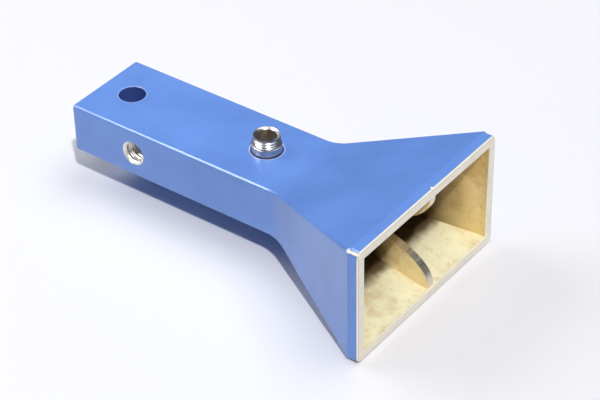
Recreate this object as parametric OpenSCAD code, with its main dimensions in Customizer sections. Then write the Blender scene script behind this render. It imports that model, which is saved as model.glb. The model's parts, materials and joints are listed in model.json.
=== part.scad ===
// Double-ridged pyramidal horn antenna with a top-mounted coaxial jack.
//
// Row frame: +X is the boresight, out of the mouth. +Z is up, the side that
// carries the jack. The origin is under the middle of the box round the horn,
// level with the lower side of the mouth. Lengths are in millimetres.
//
// Inside the modules x runs from the rear face of the block, y = 0 is the
// middle of the mouth and z = 0 is the boresight; in_frame() moves a finished
// sub-part from there to the row frame.

/* [Block] */
// Width of the block across the boresight
block_w = 40; // [36:0.5:46]
// Height of the block
block_h = 21.8; // [20:0.2:26]
// Length of the block, from its rear face to the start of the flare
block_len = 102; // [96:1:125]
// Sideways distance from the middle of the mouth to the middle of the block
block_side = 2.4; // [0:0.2:4]
// Radius along the long edges of the block and at the start of the flare
edge_r = 1.2; // [0.9:0.1:2]
// Rounding of the edges of the rear face
end_r = 0.7; // [0.3:0.1:0.8]

/* [Horn] */
// Length of the flare, from the block to the lip
flare_len = 53.4; // [45:0.2:75]
// Length of the straight lip at the mouth
lip_len = 4.6; // [3:0.2:8]
// Outside width of the mouth
mouth_w = 91; // [80:0.5:110]
// Outside height of the mouth
mouth_h = 51.6; // [46:0.2:64]
// Thickness of the rim round the mouth
rim_t = 4.3; // [3:0.1:5]
// Radius along the edges of the flare where it meets the lip
flare_r = 1.8; // [1:0.1:3]
// Outside corner radius of the lip
mouth_r = 3; // [2.5:0.1:5]
// Rounding of the outer edge of the rim
rim_edge_r = 0.9; // [0.5:0.1:1.4]
// Length of the smooth bend where the block runs into the flare
bend_len = 10; // [4:0.5:16]
// Wall thickness of the guide inside the block
wall_t = 2.1; // [1.6:0.1:2.6]

/* [Ridges] */
// Thickness of each ridge plate
ridge_t = 3.5; // [3:0.1:5]
// Gap between the two ridges at the feed
ridge_gap = 2.4; // [1.6:0.1:3.4]
// Length of the elliptic taper at the front of each ridge
taper_len = 47; // [38:0.5:50]
// Distance of the ridge fronts behind the plane of the mouth
ridge_back = 0.7; // [0.3:0.1:3]
// Height of the short upright face at the front of each ridge
ridge_nose = 0.9; // [0.5:0.1:2]
// Length of ridge behind the feed pin
ridge_tail = 4; // [3:0.5:8]

/* [Feed] */
// Distance of the jack's axis from the rear face
feed_x = 82.2; // [78:0.2:90]
// Sideways distance from the middle of the block to the plane of the ridges
feed_side = 1.1; // [0:0.1:2]
// Distance of the guide's closed rear wall behind the jack's axis
short_len = 12; // [9:0.5:16]

/* [Jack] */
// Thread diameter of the jack (7/16-28)
thread_d = 11.1; // [10.5:0.1:11.8]
// Height of the jack's front above the top of the block
jack_h = 7.2; // [6.4:0.1:9]
// Diameter of the bored socket in the jack
socket_d = 8.3; // [7.6:0.1:9]
// Diameter of the socket's countersunk mouth
socket_mouth_d = 9.8; // [9.2:0.1:10.6]
// Diameter of the round collar at the foot of the thread
collar_d = 12.1; // [11.9:0.1:14]
// Height of the collar above the top of the block
collar_h = 3.1; // [2.4:0.1:4]
// Gap between the collar and the wall of the recess that it sits in
recess_gap = 0.55; // [0.3:0.05:1]
// Depth of that recess
recess_z = 0.8; // [0.5:0.1:1.1]
// Depth of the socket above the insulator
socket_z = 6.4; // [5.4:0.1:6.6]
// Radial clearance of the pieces that are fitted into a round hole
fit_gap = 0.05; // [0.02:0.01:0.1]
// Thickness of the insulator on the socket's floor
insulator_t = 2; // [1.4:0.1:2.1]

/* [Contact] */
// Diameter of the centre contact in the jack
contact_d = 2.2; // [2:0.1:2.6]
// Diameter of the contact's own socket
contact_bore_d = 1.3; // [1.2:0.1:1.4]
// Depth of the contact's tip below the front of the jack
contact_z = 4.8; // [4.4:0.1:5.2]
// Depth of the contact's own socket
contact_bore_z = 2.2; // [1.6:0.1:2.6]
// Thickness of insulator left under the contact's shoulder
contact_lift = 0.5; // [0.4:0.1:0.9]
// Diameter of the feed pin that crosses the gap
pin_d = 0.9; // [0.8:0.05:1.1]
// Diameter of the coaxial hole that leads the pin through the upper ridge
coax_d = 2.1; // [1.9:0.1:2.3]
// Depth of the pin's seat in the lower ridge
pin_seat = 2.5; // [1.5:0.1:4]

/* [Mounting holes] */
// Diameter of the plain hole down through the block
top_hole_d = 10.9; // [9:0.1:12]
// Distance of that hole from the rear face
top_hole_x = 14.7; // [10:0.1:17]
// Diameter of the tapped hole in the side of the block
side_hole_d = 8.4; // [7:0.1:9]
// Diameter of its countersunk mouth
side_mouth_d = 10.6; // [9.6:0.1:12]
// Distance of the tapped hole from the rear face
side_hole_x = 31; // [28:0.1:40]
// Depth of the tapped hole, without its drill point
side_hole_z = 20; // [12:0.5:24]

/* [Hidden] */
$fn = 64;

length = block_len + flare_len + lip_len;
lip_x = block_len + flare_len;        // where the flare meets the lip
block_y = block_side;                 // middle plane of the block
feed_y = block_side + feed_side;      // middle plane of the ridges and jack
short_x = feed_x - short_len;         // closed rear wall of the guide
guide_w = block_w - 2 * wall_t;       // guide inside the block
guide_h = block_h - 2 * wall_t;
bore_w = mouth_w - 2 * rim_t;         // opening of the mouth
bore_h = mouth_h - 2 * rim_t;
block_top = block_h / 2;
tip_x = length - ridge_back;          // front of both ridges
taper_x = tip_x - taper_len;          // where the taper starts
tail_x = feed_x - ridge_tail;         // rear end of both ridges
taper_h = (bore_h - ridge_gap) / 2 - ridge_nose;
bevel = (side_mouth_d - side_hole_d) / 2;
drill_tip = side_hole_d / 2 / tan(59); // height of a 118 degree drill point
jack_front = block_top + jack_h;
socket_floor = jack_front - socket_z - insulator_t;
contact_tip = jack_front - contact_z;
contact_foot = socket_floor + contact_lift;
socket_bevel = (socket_mouth_d - socket_d) / 2;
pin_foot = -ridge_gap / 2 - pin_seat;
eps = 0.01;

lip_step = 0.6;   // length over which the lip takes up its own corner radius
corner_steps = 5; // facets round each long edge
bend_steps = 8;   // sections through the smooth bend
round_steps = 4;  // sections through a rounded end
taper_steps = 48; // points along the elliptic taper

blue = [0.36, 0.50, 0.84];
gold = [0.93, 0.82, 0.56];
steel = [0.66, 0.66, 0.64];
white = [0.93, 0.92, 0.88];
brass = [0.80, 0.66, 0.35];

// ---- frame -------------------------------------------------------------

// Moves a finished sub-part into the row frame.
module in_frame() {
    translate([-length / 2, 0, mouth_h / 2]) children();
}

// A straight bar with its axis along +Z that starts at z.
module bar(d, z, h) {
    translate([0, 0, z]) cylinder(d = d, h = h);
}

// ---- horn body ---------------------------------------------------------

// Share of the flare that is reached at x: 0 along the block, 1 at the lip,
// with a parabola that blends the two straights over bend_len.
function flare_share(x) =
    let (s = x - block_len, half = bend_len / 2)
    s <= -half ? 0
    : s < half ? pow(s + half, 2) / (2 * bend_len) / flare_len
    : min(1, s / flare_len);

function mix(a, b, share) = a + (b - a) * share;

// Radius of the four long edges at x.
function edge_radius(x) = x > lip_x ? mouth_r : mix(edge_r, flare_r, flare_share(x));

// One corner arc of a rounded rectangle, in the plane x.
function corner(x, cy, cz, r, from) = [
    for (i = [0 : corner_steps])
        let (a = from + 90 * i / corner_steps)
        [x, cy + r * cos(a), cz + r * sin(a)]
];

// A rounded rectangle round the boresight, drawn in by inset on every side.
function section(x, inset) =
    let (
        share = flare_share(x),
        w = mix(block_w, mouth_w, share) / 2 - inset,
        h = mix(block_h, mouth_h, share) / 2 - inset,
        r = max(edge_radius(x) - inset, 0.2),
        y = mix(block_y, 0, share)
    )
    concat(
        corner(x, y + w - r, h - r, r, 0),
        corner(x, y - w + r, h - r, r, 90),
        corner(x, y - w + r, -h + r, r, 180),
        corner(x, y + w - r, -h + r, r, 270)
    );

// Stations along x, each with its inset.
rear_end = [
    for (i = [0 : round_steps])
        let (a = 90 * i / round_steps)
        [end_r * (1 - cos(a)), end_r * (1 - sin(a))]
];
bend = [
    for (i = [0 : bend_steps])
        [block_len + bend_len * (i / bend_steps - 0.5), 0]
];
mouth_end = [
    for (i = [0 : round_steps])
        let (a = 90 * i / round_steps)
        [length - rim_edge_r * (1 - sin(a)), rim_edge_r * (1 - cos(a))]
];
stations = concat(rear_end, bend, [[lip_x, 0], [lip_x + lip_step, 0]], mouth_end);

// A solid skinned over the stations.
module skinned(list) {
    rings = [for (s = list) section(s[0], s[1])];
    n = len(rings[0]);
    m = len(rings);
    sides = [
        for (j = [0 : m - 2], i = [0 : n - 1])
            [j * n + i, (j + 1) * n + i, (j + 1) * n + (i + 1) % n, j * n + (i + 1) % n]
    ];
    rear = [for (i = [0 : n - 1]) i];
    front = [for (i = [n - 1 : -1 : 0]) (m - 1) * n + i];
    polyhedron(points = [for (r = rings) each r], faces = concat([rear], sides, [front]), convexity = 4);
}

// Plan outline of the air space, seen from above.
module plan_2d() {
    a = guide_w / 2;
    b = bore_w / 2;
    polygon([
        [short_x, block_y - a], [block_len, block_y - a], [lip_x, -b], [length + 1, -b],
        [length + 1, b], [lip_x, b], [block_len, block_y + a], [short_x, block_y + a]
    ]);
}

// Side outline of the air space, seen from the side.
module side_2d() {
    a = guide_h / 2;
    b = bore_h / 2;
    polygon([
        [short_x, -a], [block_len, -a], [lip_x, -b], [length + 1, -b],
        [length + 1, b], [lip_x, b], [block_len, a], [short_x, a]
    ]);
}

// Guide, flared throat and mouth in one space with flat walls.
module air_space() {
    intersection() {
        translate([0, 0, -mouth_h]) linear_extrude(2 * mouth_h) plan_2d();
        rotate([90, 0, 0]) translate([0, 0, -mouth_w]) linear_extrude(2 * mouth_w) side_2d();
    }
}

// Blind tapped hole in the -Y side, with its bevel and drill point.
module side_hole() {
    translate([side_hole_x, block_y - block_w / 2, 0]) rotate([-90, 0, 0]) {
        bar(side_hole_d, -1, side_hole_z + 1);
        translate([0, 0, side_hole_z]) cylinder(d1 = side_hole_d, d2 = 0, h = drill_tip);
        translate([0, 0, -eps]) cylinder(d1 = side_mouth_d + 2 * eps, d2 = side_hole_d, h = bevel + eps);
    }
}

module horn_body() {
    color(blue) in_frame() difference() {
        skinned(stations);
        air_space();
        translate([top_hole_x, block_y, 0]) bar(top_hole_d, -block_h, 2 * block_h);
        side_hole();
        translate([feed_x, feed_y, 0]) {
            bar(collar_d + 2 * recess_gap, block_top - recess_z, block_h);
            bar(thread_d + 2 * fit_gap, 0, block_h);
        }
    }
}

// ---- ridges ------------------------------------------------------------

// Distance of the ridge's working edge from the boresight, along the taper.
function taper(x) =
    let (u = min(1, max(0, (x - taper_x) / taper_len)))
    ridge_gap / 2 + taper_h * (1 - sqrt(1 - u * u));

// Profile of one ridge: x along the boresight, y away from it. The back
// follows the wall of the guide, then the wall of the flare and the lip.
module ridge_2d() {
    nose = ridge_gap / 2 + taper_h;
    edge = [
        for (i = [0 : taper_steps])
            let (x = taper_x + taper_len * sin(90 * i / taper_steps))
            [x, i == taper_steps ? nose : taper(x)]
    ];
    polygon(concat(
        [[tail_x, guide_h / 2], [tail_x, ridge_gap / 2]],
        edge,
        [[tip_x, bore_h / 2], [lip_x, bore_h / 2], [block_len, guide_h / 2]]
    ));
}

// One ridge plate, standing on the wall at +Z.
module ridge_plate() {
    translate([0, feed_y, 0]) rotate([90, 0, 0]) translate([0, 0, -ridge_t / 2])
        linear_extrude(ridge_t) ridge_2d();
}

module ridge_upper() {
    color(gold) in_frame() difference() {
        ridge_plate();
        translate([feed_x, feed_y, 0]) bar(coax_d, -block_h, 2 * block_h);
    }
}

module ridge_lower() {
    color(gold) in_frame() difference() {
        mirror([0, 0, 1]) ridge_plate();
        translate([feed_x, feed_y, 0]) bar(pin_d + 2 * fit_gap, pin_foot, block_h);
    }
}

// ---- jack --------------------------------------------------------------

// Turned in one piece: threaded barrel, collar and the spigot that closes
// the hole in the guide's wall.
module jack_body() {
    foot = guide_h / 2;
    color(steel) in_frame() translate([feed_x, feed_y, 0]) difference() {
        union() {
            bar(thread_d, foot, jack_front - foot);
            bar(collar_d, block_top - recess_z, recess_z + collar_h);
        }
        bar(socket_d, socket_floor, block_h);
        translate([0, 0, jack_front - socket_bevel])
            cylinder(d1 = socket_d, d2 = socket_mouth_d + 2 * eps, h = socket_bevel + eps);
        bar(coax_d, 0, block_h);
    }
}

// Bead on the floor of the socket that carries the contact.
module jack_insulator() {
    color(white) in_frame() translate([feed_x, feed_y, 0]) difference() {
        bar(socket_d - 2 * fit_gap, socket_floor, insulator_t);
        bar(contact_d + 2 * fit_gap, contact_foot, insulator_t);
        bar(pin_d + 2 * fit_gap, 0, block_h);
    }
}

// Socket contact, and the thin pin that runs down through the upper ridge,
// across the gap and into the lower ridge.
module centre_contact() {
    color(brass) in_frame() translate([feed_x, feed_y, 0]) difference() {
        union() {
            bar(contact_d, contact_foot, contact_tip - contact_foot);
            bar(pin_d, pin_foot, contact_foot - pin_foot + eps);
        }
        bar(contact_bore_d, contact_tip - contact_bore_z, contact_bore_z + 1);
    }
}

horn_body();
ridge_lower();
ridge_upper();
jack_body();
jack_insulator();
centre_contact();
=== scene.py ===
"""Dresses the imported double-ridged horn antenna: paint, bare metal, threads, stage.

The frame is in metres: +X leaves the mouth, +Z is the jack's side, and z = 0 is the
lowest side of the lip.
"""

import json
import math

import bmesh
import bpy
from bpy.props import FloatProperty, FloatVectorProperty, IntProperty, PointerProperty
from bpy.types import Operator, Panel, PropertyGroup
from mathutils import Matrix, Vector


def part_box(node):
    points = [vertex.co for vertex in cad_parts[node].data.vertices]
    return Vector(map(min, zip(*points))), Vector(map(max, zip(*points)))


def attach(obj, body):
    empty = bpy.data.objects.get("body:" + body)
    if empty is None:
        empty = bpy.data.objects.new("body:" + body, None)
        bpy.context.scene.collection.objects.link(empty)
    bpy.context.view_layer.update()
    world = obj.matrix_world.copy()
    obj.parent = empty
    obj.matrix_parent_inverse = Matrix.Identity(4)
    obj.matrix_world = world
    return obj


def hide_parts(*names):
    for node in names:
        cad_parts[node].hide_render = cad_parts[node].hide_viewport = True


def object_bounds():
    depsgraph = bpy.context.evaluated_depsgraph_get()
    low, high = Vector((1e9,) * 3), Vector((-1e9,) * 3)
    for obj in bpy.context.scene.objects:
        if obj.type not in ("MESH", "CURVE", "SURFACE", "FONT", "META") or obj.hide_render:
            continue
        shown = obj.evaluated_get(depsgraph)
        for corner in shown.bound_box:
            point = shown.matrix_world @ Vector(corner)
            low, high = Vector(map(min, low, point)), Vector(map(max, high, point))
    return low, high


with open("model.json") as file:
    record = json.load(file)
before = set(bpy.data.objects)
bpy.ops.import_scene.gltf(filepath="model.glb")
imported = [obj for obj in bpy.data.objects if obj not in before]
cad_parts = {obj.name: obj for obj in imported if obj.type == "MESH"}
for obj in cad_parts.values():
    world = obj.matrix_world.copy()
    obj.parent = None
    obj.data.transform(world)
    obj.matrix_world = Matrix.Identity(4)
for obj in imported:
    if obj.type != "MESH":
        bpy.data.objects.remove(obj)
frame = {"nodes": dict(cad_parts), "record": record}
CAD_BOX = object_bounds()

bl_info = {
    "name": "Horn Antenna",
    "version": (1, 0, 0),
    "blender": (4, 5, 0),
    "location": "3D View > Sidebar > Horn",
    "description": "Dresses the packed solids of a double-ridged horn antenna",
    "category": "Object",
}

MM = 0.001
MERGE = 2e-6  # points closer than this are one
MOUNTS = {m["name"]: m for m in frame["record"]["mounts"]}
FRONT = CAD_BOX[1].x  # plane of the mouth
TOP = CAD_BOX[1].z
HALF_WIDTH = CAD_BOX[1].y
COLLAR_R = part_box("jack_body")[1].x - MOUNTS["jack_thread"]["pos_m"][0]

# Material slots of the painted horn
PAINT, SHADED_COAT, RIM, CUT, LIT_COAT = range(5)


def mount_axis(name):
    """Middle, radius and length of a round mount, in metres."""
    mount = MOUNTS[name]
    return (
        Vector(mount["pos_m"]),
        mount["dims"]["r_mm"] * MM,
        mount["dims"]["length_mm"] * MM,
    )


def times(colour, *factors):
    """A colour with each channel multiplied by its factor, or all by the one given."""
    if len(factors) == 1:
        factors = factors * 3
    return tuple(c * f for c, f in zip(colour, factors))


# ---- sizes and colours ---------------------------------------------------


class HornBodySettings(PropertyGroup):
    """Sizes and colours of the painted horn."""

    paint: FloatVectorProperty(
        name="Paint",
        description="Blue enamel on the outside",
        subtype="COLOR",
        size=3,
        min=0,
        max=1,
        default=(0.135, 0.28, 0.72),
    )
    gold: FloatVectorProperty(
        name="Chromate",
        description="Yellow conversion coat inside the horn",
        subtype="COLOR",
        size=3,
        min=0,
        max=1,
        default=(0.97, 0.895, 0.62),
    )
    rim: FloatVectorProperty(
        name="Rim",
        description="Bare milled metal round the mouth",
        subtype="COLOR",
        size=3,
        min=0,
        max=1,
        default=(0.97, 0.91, 0.78),
    )
    rim_break: FloatProperty(
        name="Mouth edge break",
        description="Width of the small break on the inner edge of the mouth",
        unit="LENGTH",
        min=0.1 * MM,
        max=0.8 * MM,
        default=0.35 * MM,
    )
    hole_break: FloatProperty(
        name="Hole edge break",
        description="Width of the rounding where the paint turns into a hole",
        unit="LENGTH",
        min=0.1 * MM,
        max=0.6 * MM,
        default=0.35 * MM,
    )
    tap_pitch: FloatProperty(
        name="Tap pitch",
        description="Pitch of the thread in the side hole",
        unit="LENGTH",
        min=0.8 * MM,
        max=2 * MM,
        default=1.5 * MM,
    )
    tap_depth: FloatProperty(
        name="Tap depth",
        description="Depth of the thread in the side hole",
        unit="LENGTH",
        min=0.2 * MM,
        max=1 * MM,
        default=0.6 * MM,
    )


class HornJackSettings(PropertyGroup):
    """Sizes and colours of the coaxial jack."""

    metal: FloatVectorProperty(
        name="Metal",
        description="Turned and plated metal of the jack",
        subtype="COLOR",
        size=3,
        min=0,
        max=1,
        default=(0.58, 0.565, 0.56),
    )
    pitch: FloatProperty(
        name="Thread pitch",
        description="Pitch of the coupling thread",
        unit="LENGTH",
        min=0.6 * MM,
        max=1.6 * MM,
        default=1.2 * MM,
    )
    depth: FloatProperty(
        name="Thread depth",
        description="Depth of the coupling thread",
        unit="LENGTH",
        min=0.2 * MM,
        max=0.8 * MM,
        default=0.5 * MM,
    )
    steps: IntProperty(
        name="Steps",
        description="Steps round the jack",
        min=32,
        max=256,
        default=128,
    )


class HornStageSettings(PropertyGroup):
    """Floor, lamps and camera."""

    floor: FloatVectorProperty(
        name="Floor",
        description="Colour of the plain floor",
        subtype="COLOR",
        size=3,
        min=0,
        max=1,
        default=(0.835, 0.835, 0.875),
    )
    lens: FloatProperty(
        name="Lens",
        description="Focal length of the camera",
        subtype="DISTANCE_CAMERA",
        min=20,
        max=300,
        default=126.78,
    )
    key: FloatProperty(
        name="Key lamp",
        description="Strength of the small hard lamp in front of the mouth",
        min=0,
        max=10,
        default=2.1,
    )
    soft: FloatProperty(
        name="Soft lamp",
        description="Strength of the large soft lamp above the horn",
        subtype="POWER",
        min=0,
        max=200,
        default=5.7,
    )
    edge: FloatProperty(
        name="Edge lamp",
        description="Strength of the lamp that draws a light line along the near edge",
        subtype="POWER",
        min=0,
        max=50,
        default=16,
    )
    rear: FloatProperty(
        name="Rear lamp",
        description="Strength of the soft lamp low behind the block",
        subtype="POWER",
        min=0,
        max=50,
        default=4.2,
    )
    sky: FloatProperty(
        name="Room light",
        description="Strength of the even light from all round",
        min=0,
        max=3,
        default=0.05,
    )


# ---- node helpers --------------------------------------------------------


class Finish:
    """A node material under construction, with Object coordinates at hand."""

    def __init__(self, name, **shader):
        self.material = bpy.data.materials.new(name)
        self.material.use_nodes = True
        self.tree = self.material.node_tree
        self.shader = next(n for n in self.tree.nodes if n.type == "BSDF_PRINCIPLED")
        self.place = self.add("ShaderNodeTexCoord").outputs["Object"]
        for socket, value in shader.items():
            self.shader.inputs[socket.replace("_", " ")].default_value = value

    def add(self, kind, links=None, **values):
        """Adds a node, sets its own values and links or sets its inputs."""
        made = self.tree.nodes.new(kind)
        for key, value in values.items():
            setattr(made, key, value)
        for socket, value in (links or {}).items():
            self.feed(made.inputs[socket], value)
        return made

    def feed(self, socket, value):
        if isinstance(value, bpy.types.NodeSocket):
            self.tree.links.new(value, socket)
        else:
            socket.default_value = value

    def stretch(self, *scale):
        """Object coordinates, scaled by a factor for each axis."""
        links = {"Vector": self.place, "Scale": scale}
        return self.add("ShaderNodeMapping", links).outputs["Vector"]

    def noise(self, scale, detail=3.0, rough=0.5, at=None, distortion=0.0):
        links = {
            "Vector": at or self.place,
            "Scale": scale,
            "Detail": detail,
            "Roughness": rough,
            "Distortion": distortion,
        }
        return self.add("ShaderNodeTexNoise", links).outputs["Fac"]

    def ramp(self, fac, *stops):
        """Colour ramp over two (position, colour) stops."""
        made = self.add("ShaderNodeValToRGB", {"Fac": fac})
        for slot, (place, colour) in zip(made.color_ramp.elements, stops):
            slot.position = place
            slot.color = tuple(colour) + (1.0,)
        return made.outputs["Color"]

    def span(self, value, low, high, out_low=0.0, out_high=1.0, ease="SMOOTHSTEP"):
        """Maps low to high onto out_low to out_high, held at both ends."""
        links = {
            "Value": value,
            "From Min": low,
            "From Max": high,
            "To Min": out_low,
            "To Max": out_high,
        }
        made = self.add("ShaderNodeMapRange", links, interpolation_type=ease)
        return made.outputs["Result"]

    def rough(self, value, low, high):
        """A roughness from low to high over the middle of a noise."""
        return self.span(value, 0.3, 0.7, low, high, "LINEAR")

    def math(self, operation, a, b=0.0):
        made = self.add("ShaderNodeMath", operation=operation)
        self.feed(made.inputs[0], a)
        self.feed(made.inputs[1], b)
        return made.outputs["Value"]

    def band(self, value, middle, core, reach, most):
        """most where value is within core of middle, falling to 0 at reach."""
        off = self.math("ABSOLUTE", self.math("SUBTRACT", value, middle))
        return self.span(off, core, reach, most, 0.0)

    def mix(self, fac, a, b):
        """Colour a turning to colour b; a Mix node's colour sockets are 6, 7 and 2."""
        made = self.add("ShaderNodeMix", data_type="RGBA")
        for place, value in ((0, fac), (6, a), (7, b)):
            if isinstance(value, tuple):
                value = value + (1.0,)
            self.feed(made.inputs[place], value)
        return made.outputs[2]

    def near(self, point, reach):
        """1 at a point, falling to 0 at reach."""
        apart = self.add(
            "ShaderNodeVectorMath",
            {0: self.place, 1: tuple(point)},
            operation="DISTANCE",
        ).outputs["Value"]
        return self.span(apart, 0.0, reach, 1.0, 0.0)

    def off_axis(self, point):
        """Distance from an upright axis through a point."""
        flat = self.add(
            "ShaderNodeVectorMath", {0: self.place, 1: (1, 1, 0)}, operation="MULTIPLY"
        ).outputs["Vector"]
        foot = (point.x, point.y, 0)
        return self.add(
            "ShaderNodeVectorMath", {0: flat, 1: foot}, operation="DISTANCE"
        ).outputs["Value"]

    def axis(self, letter):
        made = self.add("ShaderNodeSeparateXYZ", {"Vector": self.place})
        return made.outputs[letter]

    def bump(self, height, strength, distance):
        links = {"Height": height, "Strength": strength, "Distance": distance}
        made = self.add("ShaderNodeBump", links)
        self.feed(self.shader.inputs["Normal"], made.outputs["Normal"])

    def use(self, **sockets):
        for socket, value in sockets.items():
            self.feed(self.shader.inputs[socket.replace("_", " ")], value)
        return self.material


# ---- mesh helpers --------------------------------------------------------


def merged_copy(node):
    """A CAD node's mesh as a closed bmesh with its flat faces joined up."""
    bm = bmesh.new()
    bm.from_mesh(frame["nodes"][node].data)
    bmesh.ops.remove_doubles(bm, verts=bm.verts, dist=MERGE)
    bmesh.ops.dissolve_limit(
        bm, angle_limit=math.radians(0.3), verts=bm.verts, edges=bm.edges
    )
    return bm


def off_axis(co, axis_at):
    """Distance of a point from an upright axis."""
    return math.hypot(co.x - axis_at.x, co.y - axis_at.y)


def round_edges(bm, width, segments, test, least=25):
    """Rounds the edges that turn by over least degrees and whose middle passes."""
    picked = [
        e
        for e in bm.edges
        if e.is_manifold
        and e.calc_face_angle(0) > math.radians(least)
        and test((e.verts[0].co + e.verts[1].co) / 2)
    ]
    if not picked:
        raise RuntimeError("no edge to round")
    bmesh.ops.bevel(
        bm,
        geom=picked,
        offset=width,
        offset_type="OFFSET",
        affect="EDGES",
        segments=segments,
        profile=0.5,
        material=-1,
        clamp_overlap=True,
    )


def new_piece(bm, name, materials, slot, *nodes):
    """Finishes a bmesh as a shown piece that stands for CAD nodes."""
    mesh = bpy.data.meshes.new(name)
    bm.to_mesh(mesh)
    bm.free()
    for material in materials:
        mesh.materials.append(material)
    mesh.polygons.foreach_set("use_smooth", [True] * len(mesh.polygons))
    mesh.set_sharp_from_angle(angle=math.radians(32))
    piece = bpy.data.objects.new(name, mesh)
    bpy.context.scene.collection.objects.link(piece)
    weighted = piece.modifiers.new("weighted_normals", "WEIGHTED_NORMAL")
    weighted.keep_sharp = True
    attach(piece, "root")
    if nodes:
        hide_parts(*nodes)
    return piece


def spun(profile, centre, steps):
    """Closed solid of revolution about +Z from a closed (radius, z) profile."""
    bm = bmesh.new()
    verts = [bm.verts.new(centre + Vector((r, 0, z))) for r, z in profile]
    edges = [bm.edges.new((a, b)) for a, b in zip(verts, verts[1:] + verts[:1])]
    bmesh.ops.spin(
        bm,
        geom=verts + edges,
        cent=centre,
        axis=(0, 0, 1),
        angle=math.tau,
        steps=steps,
        use_merge=True,
    )
    bmesh.ops.remove_doubles(bm, verts=bm.verts, dist=MERGE)
    bmesh.ops.recalc_face_normals(bm, faces=bm.faces)
    return bm


def tooth(phase):
    """Height of a 60 degree thread, 0 at the root and 1 at the crest."""
    wave = abs((phase % 1.0) * 2 - 1)
    return min(1.0, max(0.0, (wave - 0.12) / 0.72))


# ---- materials -----------------------------------------------------------


def blue_enamel(settings):
    """Glossy blue enamel: painted shade in the holes, painted highlight rings round them,
    chips at the lip and a painted glint on the rim.
    """
    look = Finish(
        "blue_enamel",
        IOR=1.5,
        Specular_IOR_Level=0.4,
        Coat_Weight=0.2,
        Coat_Roughness=0.12,
        Coat_IOR=1.5,
    )
    colour = tuple(settings.paint)
    light = tuple(min(1, c * 1.1 + 0.012) for c in colour)
    # thin is the light blue of the painted highlight ring round each hole
    thin = tuple(c + (1 - c) * 0.6 for c in colour)
    clouds = look.ramp(look.noise(34, 4), (0.3, times(colour, 0.93)), (0.7, light))
    specks = look.noise(2600, 1)
    shown = look.mix(look.span(specks, 0.62, 0.8, 0, 0.25), clouds, light)

    # Light grey spots: paint chips at the lip corner and a painted glint on the rim's top
    # edge
    ragged = look.noise(900, 3, 0.7)
    chips_and_glint = None
    lip_corner = (FRONT - 4.7 * MM, 0.5 * MM - HALF_WIDTH, TOP - 0.2 * MM)
    rim_glint_at = (FRONT - 0.6 * MM, 2.8 * MM, TOP)
    for place, reach in ((lip_corner, 3.0 * MM), (rim_glint_at, 1.6 * MM)):
        close = look.math("ADD", look.near(place, reach), ragged)
        spot = look.span(close, 1.12, 1.2)
        chips_and_glint = look.math("MAXIMUM", chips_and_glint or 0.0, spot)
    shown = look.mix(chips_and_glint, shown, (0.86, 0.86, 0.84))

    top, top_r, _ = mount_axis("top_hole")
    jack, _, _ = mount_axis("jack_thread")
    # Painted shade inside each hole, and a painted highlight ring on the rounded edge
    # round it
    for centre, edge, glow in ((top, top_r, 0.25), (jack, COLLAR_R + 0.45 * MM, 0.7)):
        away = look.off_axis(centre)
        inside = look.span(away, edge + 0.03 * MM, edge + 0.2 * MM, 0.88, 0.0)
        shown = look.mix(inside, shown, (0.045, 0.075, 0.30))
        # painted highlight where the hole's rounded edge would catch the light
        painted_highlight_ring = look.band(away, edge + 0.42 * MM, 0.1 * MM, 0.35 * MM, glow)
        shown = look.mix(painted_highlight_ring, shown, thin)
    look.bump(look.noise(420, 2), 0.12, 0.05 * MM)
    rough = look.rough(look.noise(60, 3), 0.18, 0.25)
    return look.use(Base_Color=shown, Roughness=rough)


def yellow_chromate(name, colour, metallic, shade_from_x, shade_full_x, most):
    """Mottled yellow coat on aluminium; painted shade darkens it to brown with depth, from
    the x where it starts back to the x where it is full.
    """
    look = Finish(name, Metallic=metallic)
    colour = tuple(colour)
    pale = tuple(min(1, c * 1.07 + 0.02) for c in colour)
    brown = times(colour, 0.72, 0.56, 0.32)
    base = look.ramp(look.noise(90, 5, 0.6), (0.32, colour), (0.62, pale))
    stains = look.noise(70, 8, 0.66, distortion=0.2)
    specks = look.noise(380, 6, 0.75)
    stained = look.mix(look.span(stains, 0.46, 0.64, 0, 0.6), base, brown)
    stained = look.mix(look.span(specks, 0.5, 0.7, 0, 0.45), stained, brown)
    # painted shade: the coat turns dark brown deeper in the horn, with a wandering edge,
    # where the roof casts its shadow
    wander = look.math("MULTIPLY", look.noise(140, 4, 0.6), 5 * MM)
    depth = look.math("SUBTRACT", look.axis("X"), wander)
    painted_depth_shade = look.span(depth, shade_full_x, shade_from_x, most, 0.0)
    stained = look.mix(painted_depth_shade, stained, (0.10, 0.062, 0.026))
    grain = look.noise(1500, 2)
    look.bump(grain, 0.25, 0.06 * MM)
    return look.use(Base_Color=stained, Roughness=look.rough(grain, 0.36, 0.54))


def bare_rim(settings):
    """Milled metal round the mouth, faintly streaked, with a line near its edge."""
    look = Finish("bare_rim", Metallic=0.12)
    colour = tuple(settings.rim)
    streaks = look.noise(120, 4, 0.6, at=look.stretch(1, 1, 6))
    base = look.ramp(streaks, (0.3, times(colour, 0.92)), (0.62, colour))
    half_z = TOP / 2
    in_y = look.math("SUBTRACT", HALF_WIDTH, look.math("ABSOLUTE", look.axis("Y")))
    off_z = look.math("ABSOLUTE", look.math("SUBTRACT", look.axis("Z"), half_z))
    inset = look.math("MINIMUM", in_y, look.math("SUBTRACT", half_z, off_z))
    line = look.band(inset, 0.75 * MM, 0.05 * MM, 0.25 * MM, 0.5)
    base = look.mix(line, base, (0.42, 0.38, 0.33))
    look.bump(look.noise(1800, 2), 0.15, 0.04 * MM)
    rough = look.rough(look.noise(700, 3), 0.42, 0.58)
    return look.use(Base_Color=base, Roughness=rough)


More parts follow.
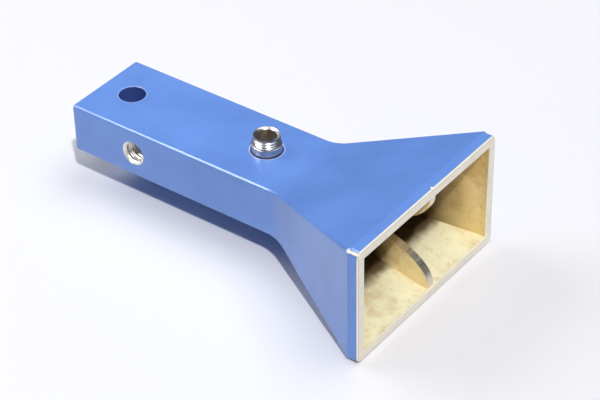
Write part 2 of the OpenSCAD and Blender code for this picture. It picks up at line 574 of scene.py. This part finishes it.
def cut_metal():
    """Freshly cut aluminium in the tapped hole."""
    look = Finish("cut_metal", Metallic=1.0)
    rings = look.noise(1, 2, at=look.stretch(60, 5200, 60))
    base = look.ramp(rings, (0.3, (0.66, 0.64, 0.6)), (0.7, (0.86, 0.85, 0.82)))
    return look.use(Base_Color=base, Roughness=look.rough(rings, 0.36, 0.5))


def ridge_edge():
    """Filed working edge of the ridges, where the coat is thin."""
    look = Finish("ridge_edge", Metallic=0.9)
    lines = look.noise(1, 3, at=look.stretch(900, 60, 900))
    base = look.ramp(lines, (0.3, (0.70, 0.63, 0.50)), (0.7, (0.86, 0.80, 0.67)))
    look.bump(lines, 0.1, 0.03 * MM)
    return look.use(Base_Color=base, Roughness=look.rough(lines, 0.24, 0.42))


def turned_metal(settings):
    """Turned and plated jack metal with fine rings and a little grime."""
    look = Finish("turned_metal", Metallic=1.0)
    colour = tuple(settings.metal)
    rings = look.noise(1, 2, at=look.stretch(90, 90, 7000))
    grime = look.noise(420, 3, 0.5)
    base = look.ramp(rings, (0.3, times(colour, 0.82)), (0.7, colour))
    dirty = look.mix(look.span(grime, 0.5, 0.75, 0, 0.3), base, (0.25, 0.22, 0.18))
    look.bump(rings, 0.05, 0.02 * MM)
    return look.use(Base_Color=dirty, Roughness=look.rough(grime, 0.28, 0.36))


def shade_dark_bead():
    """Plastic of the insulator, coloured dark brown as painted shade for the bottom of the
    socket.
    """
    look = Finish("shade_dark_bead")
    fine = look.noise(1400, 3)
    base = look.ramp(fine, (0.3, (0.05, 0.04, 0.03)), (0.7, (0.09, 0.075, 0.06)))
    return look.use(Base_Color=base, Roughness=look.span(fine, 0.3, 0.7, 0.38, 0.52))


def contact_gold():
    """Gold plate of the centre contact, turned in fine rings."""
    look = Finish("contact_gold", Metallic=1.0)
    fine = look.noise(1, 2, at=look.stretch(80, 80, 6000))
    base = look.ramp(fine, (0.3, (0.72, 0.52, 0.22)), (0.7, (0.9, 0.7, 0.36)))
    return look.use(Base_Color=base, Roughness=look.span(fine, 0.3, 0.7, 0.16, 0.3))


def floor_finish(settings):
    """Pale floor, a little darker for the light that it throws back on the horn."""
    look = Finish("pale_floor", Roughness=0.5)
    colour = tuple(settings.floor)
    cloud = look.noise(1.3, 2)
    base = look.ramp(cloud, (0.3, times(colour, 0.985)), (0.7, colour))
    rays = look.add("ShaderNodeLightPath").outputs
    seen = look.math("MAXIMUM", rays["Is Camera Ray"], rays["Is Glossy Ray"])
    return look.use(Base_Color=look.mix(seen, times(colour, 0.82), base))


# ---- pieces --------------------------------------------------------------


class HORN_OT_body(Operator):
    """Rounds the edges of the horn, taps its side hole and paints it"""

    bl_idname = "horn.body"
    bl_label = "Horn body"

    def execute(self, context):
        settings = context.scene.horn_body
        bm = merged_copy("horn_body")
        self.soften(bm, settings)
        self.tap(bm, settings)
        self.sort_faces(bm)
        # Lit and shaded copies of one chromate coat: the walls get a darker, more metallic
        # copy as painted shade, faces that look up a paler lit copy, and both darken with
        # depth as painted shade.
        walls = times(settings.gold, 0.88, 0.74, 0.50)
        shade_from_x, shade_full_x = FRONT - 5 * MM, FRONT - 28 * MM
        floor_shade_from_x, floor_shade_full_x = FRONT - 18 * MM, FRONT - 24 * MM
        finishes = {
            PAINT: blue_enamel(settings),
            SHADED_COAT: yellow_chromate("yellow_chromate", walls, 0.35, shade_from_x, shade_full_x, 0.97),
            RIM: bare_rim(settings),
            CUT: cut_metal(),
            LIT_COAT: yellow_chromate(
                "lit_chromate", settings.gold, 0.08, floor_shade_from_x, floor_shade_full_x, 0.97
            ),
        }
        materials = [finishes[slot] for slot in sorted(finishes)]
        new_piece(bm, "painted_horn", materials, "paint", "horn_body")
        return {"FINISHED"}

    @staticmethod
    def soften(bm, settings):
        """Rounds the edges of the top hole, the jack's recess, the rim and the lip."""
        top, top_r, _ = mount_axis("top_hole")
        jack, _, _ = mount_axis("jack_thread")
        above_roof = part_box("jack_body")[0].z + 2 * MM
        lip_x = min(v.co.x for v in bm.verts if v.co.y > HALF_WIDTH - 0.01 * MM)
        lip_break = 0.35 * MM
        skin = 0.6 * MM

        def in_top_hole(co):
            return off_axis(co, top) < top_r * 1.02

        def round_recess(co):
            away = off_axis(co, jack) / COLLAR_R
            return 0.98 < away < 1.3 and co.z > above_roof

        def at_mouth(co):
            return co.x > FRONT - 0.05 * MM

        def behind_lip(co):
            on_skin = abs(co.y) > HALF_WIDTH - skin or not skin < co.z < TOP - skin
            return abs(co.x - lip_x) < 0.02 * MM and on_skin

        round_edges(bm, settings.hole_break, 3, in_top_hole)
        round_edges(bm, settings.hole_break, 3, round_recess)
        round_edges(bm, settings.rim_break, 3, at_mouth)
        round_edges(bm, lip_break, 3, behind_lip, least=2)

    @staticmethod
    def tap(bm, settings):
        """Cuts the screw thread into the wall of the side hole."""
        side, radius, length = mount_axis("side_hole")
        pitch = settings.tap_pitch
        steps_a_turn = 12
        core = 0.2 * MM
        inset = 0.3 * MM
        root = radius * 0.98
        count = int(length / pitch * steps_a_turn)
        depth = count * pitch / steps_a_turn
        wall = [(root, i * pitch / steps_a_turn) for i in range(count + 1)]
        tap = spun([(core, 0.0)] + wall + [(core, depth)], Vector((0, 0, 0)), 72)
        for v in tap.verts:
            reach = math.hypot(v.co.x, v.co.y)
            if reach < radius / 2:
                continue
            turn = math.atan2(v.co.y, v.co.x) / math.tau
            fade = max(0.0, min(1.0, v.co.z / pitch, (depth - v.co.z) / pitch))
            crest = tooth(v.co.z / pitch - turn) * settings.tap_depth * fade
            v.co.x *= (root + crest) / reach
            v.co.y *= (root + crest) / reach
        mouth = Matrix.Translation((side.x, side.y - length / 2 + inset, side.z))
        inwards = Matrix.Rotation(-math.pi / 2, 4, "X")
        bmesh.ops.transform(tap, matrix=mouth @ inwards, verts=tap.verts)
        bmesh.ops.recalc_face_normals(tap, faces=tap.faces)

        meshes = [bpy.data.meshes.new("horn_raw"), bpy.data.meshes.new("tap_raw")]
        objects = []
        for source, mesh in zip((bm, tap), meshes):
            source.to_mesh(mesh)
            made = bpy.data.objects.new(mesh.name, mesh)
            bpy.context.scene.collection.objects.link(made)
            objects.append(made)
        tap.free()
        horn, tool = objects
        cut = horn.modifiers.new("tap", "BOOLEAN")
        cut.operation = "DIFFERENCE"
        cut.solver = "EXACT"
        cut.object = tool
        depsgraph = bpy.context.evaluated_depsgraph_get()
        result = bpy.data.meshes.new_from_object(horn.evaluated_get(depsgraph))
        bm.clear()
        bm.from_mesh(result)
        for made in objects:
            bpy.data.objects.remove(made)
        for mesh in meshes + [result]:
            bpy.data.meshes.remove(mesh)

    @staticmethod
    def sort_faces(bm):
        """Gives each face the slot of its finish by where it lies."""
        top, top_r, _ = mount_axis("top_hole")
        jack, _, _ = mount_axis("jack_thread")
        side, _, _ = mount_axis("side_hole")
        above_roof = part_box("jack_body")[0].z + 0.1 * MM
        rim_x = FRONT - 0.62 * MM
        bevel_r = 5.6 * MM
        hole_end_y = side.y + 14 * MM
        for face in bm.faces:
            co, normal = face.calc_center_median(), face.normal
            off_side = math.hypot(co.x - side.x, co.z - side.z)
            in_recess = off_axis(co, jack) < COLLAR_R * 1.12 and co.z > above_roof
            face.material_index = PAINT
            if co.x > rim_x and normal.x > 0.3:
                face.material_index = RIM
            elif off_side < bevel_r and co.y < hole_end_y and abs(normal.y) < 0.98:
                face.material_index = CUT
            elif off_axis(co, top) < top_r * 1.05 or in_recess:
                face.material_index = PAINT
            elif inside_horn(co):
                # faces that look up get the lit copy of the coat, the walls the shaded
                # copy
                face.material_index = LIT_COAT if normal.z > 0.7 else SHADED_COAT


class Outline:
    """The horn's outside along x, as rings of (x, half y, half z, middle y)."""

    def __init__(self):
        verts = [v.co for v in frame["nodes"]["horn_body"].data.vertices]
        self.boresight = TOP / 2
        block_half = self.boresight - MOUNTS["block_base"]["pos_m"][2]
        self.rings = []
        widest = 0.0
        for x in sorted({round(v.x, 5) for v in verts}):
            ring = [v for v in verts if abs(v.x - x) < 6e-6]
            low, high = min(v.z for v in ring), max(v.z for v in ring)
            near, far = min(v.y for v in ring), max(v.y for v in ring)
            half_y = (far - near) / 2
            whole = high - self.boresight > block_half - MERGE
            if whole and half_y >= widest - MERGE / 2:
                self.rings.append((x, half_y, (high - low) / 2, (near + far) / 2))
                widest = half_y

    def at(self, x):
        """Half y, half z and middle y at x."""
        low = high = self.rings[0]
        for high in self.rings[1:]:
            if x <= high[0]:
                break
            low = high
        along = (x - low[0]) / max(1e-9, high[0] - low[0])
        along = min(1.0, max(0.0, along))
        return [a + (b - a) * along for a, b in zip(low[1:], high[1:])]


CAD_OUTLINE = Outline()


def inside_horn(co):
    """True on the walls of the air space, which lie inside the outline."""
    skin = 0.9 * MM
    closed_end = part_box("ridge_lower")[0].x - 12 * MM
    half_y, half_z, middle = CAD_OUTLINE.at(co.x)
    return (
        co.x > closed_end
        and abs(co.y - middle) < half_y - skin
        and abs(co.z - CAD_OUTLINE.boresight) < half_z - skin
    )


class HORN_OT_ridges(Operator):
    """Breaks the edges of both ridges and gives them coated sides and filed edges"""

    bl_idname = "horn.ridges"
    bl_label = "Ridges"

    def execute(self, context):
        gold = times(context.scene.horn_body.gold, 1.0, 0.87, 0.70)
        # painted shade: the ridges' coat darkens to brown towards the throat
        shade_from_x, shade_full_x = FRONT - 19 * MM, FRONT - 29 * MM
        sides = yellow_chromate("ridge_chromate", gold, 0.2, shade_from_x, shade_full_x, 0.95)
        edge = ridge_edge()
        edge_break = 0.22 * MM
        for level in ("lower", "upper"):
            node = f"ridge_{level}"
            bm = merged_copy(node)
            round_edges(bm, edge_break, 2, lambda co: True)
            for face in bm.faces:
                face.material_index = 0 if abs(face.normal.y) > 0.9 else 1
            new_piece(bm, f"{level}_ridge", [sides, edge], "gold_chromate", node)
        return {"FINISHED"}


class HORN_OT_jack(Operator):
    """Turns the jack's body with its collar, coupling thread and socket"""

    bl_idname = "horn.jack"
    bl_label = "Jack"

    def execute(self, context):
        settings = context.scene.horn_jack
        low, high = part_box("jack_body")
        bead_low, bead_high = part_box("jack_insulator")
        at, thread_r, thread_length = mount_axis("jack_thread")
        centre = Vector((at.x, at.y, 0))
        pitch = settings.pitch
        front = high.z
        collar_top = at.z - thread_length / 2
        collar_foot = low.z + 1.3 * MM
        coax_r = 1.05 * MM
        spigot_r = thread_r - 0.05 * MM
        neck_r = thread_r - 0.5 * MM
        mouth_r = thread_r - 0.25 * MM
        land_r = mouth_r - 0.2 * MM
        socket_r = bead_high.x - at.x + 0.05 * MM
        chamfer = 0.3 * MM
        thread_from = collar_top + 0.35 * MM
        thread_to = front - 0.3 * MM
        steps_a_turn = 14
        count = int((thread_to - thread_from) / (pitch / steps_a_turn))
        step = (thread_to - thread_from) / count
        profile = [
            (coax_r, low.z),
            (spigot_r, low.z),
            (spigot_r, collar_foot),
            (COLLAR_R, collar_foot),
            (COLLAR_R, collar_top - chamfer),
            (COLLAR_R - chamfer / 3, collar_top - chamfer / 3),
            (COLLAR_R - chamfer, collar_top),
            (neck_r, collar_top),
            (neck_r, thread_from - 0.05 * MM),
        ]
        profile += [(thread_r, thread_from + i * step) for i in range(count + 1)]
        profile += [
            (mouth_r, front),
            (land_r, front),
            (land_r - 0.1 * MM, front - 0.05 * MM),
            (socket_r + 0.1 * MM, front - 0.75 * MM),
            (socket_r, front - 0.95 * MM),
            (socket_r, bead_low.z),
            (coax_r, bead_low.z),
        ]
        bm = spun(profile, centre, settings.steps)
        for v in bm.verts:
            flat = v.co - centre
            reach = math.hypot(flat.x, flat.y)
            on_thread = thread_from - MERGE / 2 < v.co.z < thread_to + MERGE / 2
            if not on_thread or reach < thread_r - 0.01 * MM:
                continue
            turn = math.atan2(flat.y, flat.x) / math.tau
            to_end = (thread_to - v.co.z) / pitch
            groove = 1 - tooth((v.co.z - thread_from) / pitch - turn)
            fade = max(0.0, min(1.0, 4 * to_end))
            taper = max(0.0, 1 - 2 * to_end) * 0.15 * MM
            share = (reach - groove * fade * settings.depth - taper) / reach
            v.co.x = centre.x + flat.x * share
            v.co.y = centre.y + flat.y * share
        metal = turned_metal(settings)
        new_piece(bm, "threaded_jack", [metal], "jack_metal", "jack_body")
        return {"FINISHED"}


class HORN_OT_feed(Operator):
    """Gives the insulator and the centre contact their finishes"""

    bl_idname = "horn.feed"
    bl_label = "Insulator and contact"

    def execute(self, context):
        for node, material in (
            ("jack_insulator", shade_dark_bead()),
            ("centre_contact", contact_gold()),
        ):
            for slot in frame["nodes"][node].material_slots:
                slot.material = material
        return {"FINISHED"}


class HORN_OT_stage(Operator):
    """Makes the floor, the lamps, the room light and the camera"""

    bl_idname = "horn.stage"
    bl_label = "Stage"

    def execute(self, context):
        settings = context.scene.horn_stage
        bm = bmesh.new()
        bmesh.ops.create_grid(bm, x_segments=1, y_segments=1, size=4.0)
        mesh = bpy.data.meshes.new("floor")
        bm.to_mesh(mesh)
        bm.free()
        mesh.materials.append(floor_finish(settings))
        floor = bpy.data.objects.new("floor", mesh)
        bpy.context.scene.collection.objects.link(floor)
        floor.location.z = CAD_BOX[0].z - 0.05 * MM

        key = bpy.data.lights.new("key_lamp", "SUN")
        key.energy = settings.key
        key.angle = math.radians(2.5)
        self.hang(key, azimuth=-41, elevation=53, distance=1.5)
        self.area("soft_lamp", (0.9, 0.6), settings.soft, 52, 70, 1.1)
        self.area("rear_lamp", (0.8, 0.5), settings.rear, 192, 42, 1.1)
        edge = self.area("edge_lamp", (1.2, 0.3), settings.edge, 211.7, 55.3, 1.0, -37)
        edge.visible_diffuse = False  # it only makes highlights

        world = bpy.data.worlds.new("room")
        world.use_nodes = True
        back = next(n for n in world.node_tree.nodes if n.type == "BACKGROUND")
        back.inputs["Color"].default_value = (0.86, 0.91, 1.0, 1.0)
        back.inputs["Strength"].default_value = settings.sky
        context.scene.world = world
        context.scene.view_settings.view_transform = "Standard"

        camera = bpy.data.cameras.new("camera")
        camera.sensor_width = 36.0
        camera.lens = settings.lens
        seat = bpy.data.objects.new("camera", camera)
        right = Vector((0.80317, 0.59553, -0.01648))
        down = Vector((0.34793, -0.49134, -0.79845))
        turn = Matrix((right, -down, right.cross(-down))).transposed()
        place = Matrix.Translation((0.41657, -0.5206, 0.51505))
        seat.matrix_world = place @ turn.to_4x4()
        context.scene.collection.objects.link(seat)
        context.scene.camera = seat
        return {"FINISHED"}

    def area(self, name, size, power, azimuth, elevation, distance, roll=0):
        """Hangs a rectangular lamp."""
        lamp = bpy.data.lights.new(name, "AREA")
        lamp.shape = "RECTANGLE"
        lamp.size, lamp.size_y = size
        lamp.energy = power
        return self.hang(lamp, azimuth, elevation, distance, roll)

    @staticmethod
    def hang(lamp, azimuth, elevation, distance, roll=0):
        """Points a lamp at the horn. Azimuth runs from +X towards +Y, in degrees."""
        a, e = math.radians(azimuth), math.radians(elevation)
        level = math.cos(e)
        away = Vector((math.cos(a) * level, math.sin(a) * level, math.sin(e)))
        spin = Matrix.Rotation(math.radians(roll), 3, "Z")
        made = bpy.data.objects.new(lamp.name, lamp)
        made.location = (CAD_BOX[0] + CAD_BOX[1]) / 2 + away * distance
        facing = away.to_track_quat("Z", "Y").to_matrix()
        made.rotation_euler = (facing @ spin).to_euler()
        bpy.context.scene.collection.objects.link(made)
        return made


class HORN_PT_panel(Panel):
    """Lists the horn's pieces and their settings"""

    bl_idname = "HORN_PT_panel"
    bl_label = "Horn antenna"
    bl_space_type = "VIEW_3D"
    bl_region_type = "UI"
    bl_category = "Horn"

    def draw(self, context):
        for operator in PIECES:
            self.layout.operator(operator.bl_idname)
        for group in ("horn_body", "horn_jack", "horn_stage"):
            settings = getattr(context.scene, group)
            column = self.layout.column()
            for name in settings.__annotations__:
                column.prop(settings, name)


PIECES = (HORN_OT_body, HORN_OT_ridges, HORN_OT_jack, HORN_OT_feed, HORN_OT_stage)
SETTINGS = (HornBodySettings, HornJackSettings, HornStageSettings)
CLASSES = SETTINGS + PIECES + (HORN_PT_panel,)


def register():
    for made in CLASSES:
        bpy.utils.register_class(made)
    bpy.types.Scene.horn_body = PointerProperty(type=HornBodySettings)
    bpy.types.Scene.horn_jack = PointerProperty(type=HornJackSettings)
    bpy.types.Scene.horn_stage = PointerProperty(type=HornStageSettings)


def unregister():
    for name in ("horn_body", "horn_jack", "horn_stage"):
        delattr(bpy.types.Scene, name)
    for made in reversed(CLASSES):
        bpy.utils.unregister_class(made)


def main():
    register()
    for operator in PIECES:
        group, name = operator.bl_idname.split(".")
        getattr(getattr(bpy.ops, group), name)()


if __name__ == "__main__":
    main()
